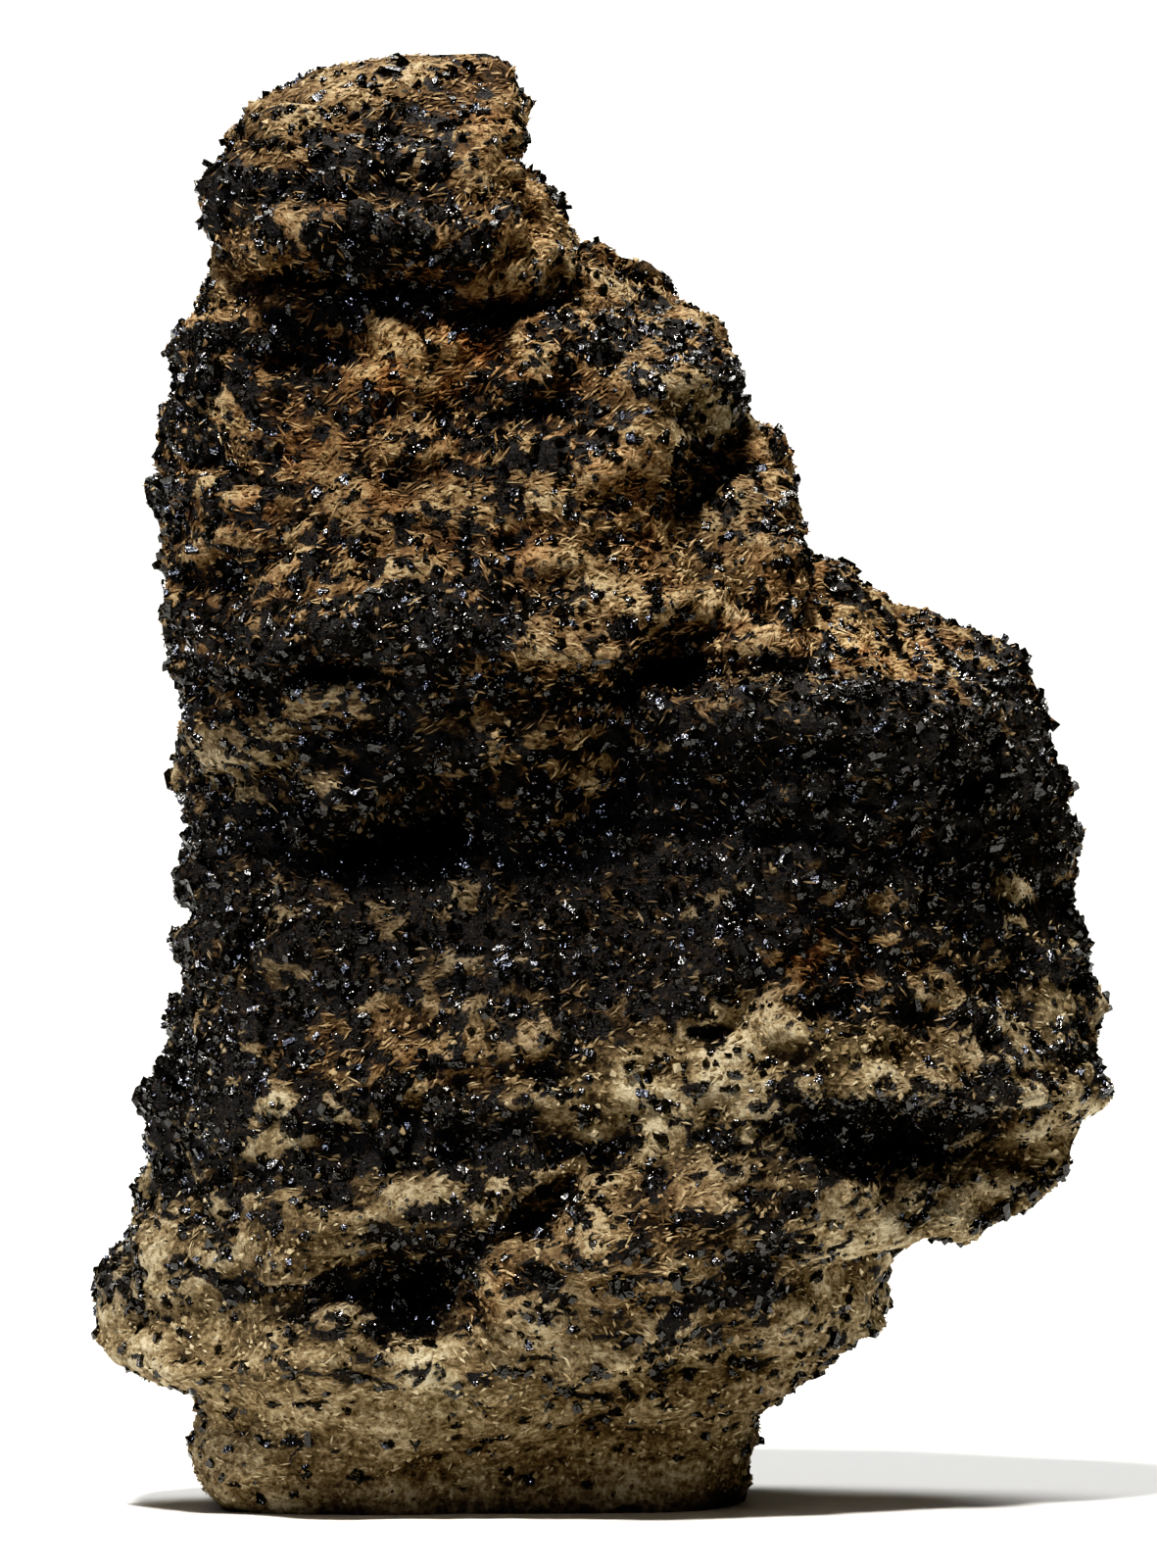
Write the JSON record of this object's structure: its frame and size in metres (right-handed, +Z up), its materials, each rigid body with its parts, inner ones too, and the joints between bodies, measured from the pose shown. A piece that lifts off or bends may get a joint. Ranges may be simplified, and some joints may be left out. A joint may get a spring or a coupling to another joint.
{
  "type": "straczekite mineral specimen",
  "caption": "Upright hand specimen of banded tan rock with seams and loose grains of glossy greenish-black straczekite, standing on its flat broken base.",
  "frame": {"origin": "centre of the footprint of the bounding box, on the flat broken base", "axes": "+Z up through the standing specimen, its longest extent; -Y towards the viewer, the face with the richest black seams; +X to that viewer's right, where the great dark block stands out; +Y is the shortest extent"},
  "size_m": [0.0314, 0.021, 0.0446],
  "materials": {
    "rock": "rough banded fibrous rock, warm tan above and paler below, about half covered by black grains",
    "straczekite": "greenish-black crystal grains with a bright, slightly waxy lustre"
  },
  "bodies": {
    "root": {"straczekite_rock": "rock"}
  },
  "joints": []
}
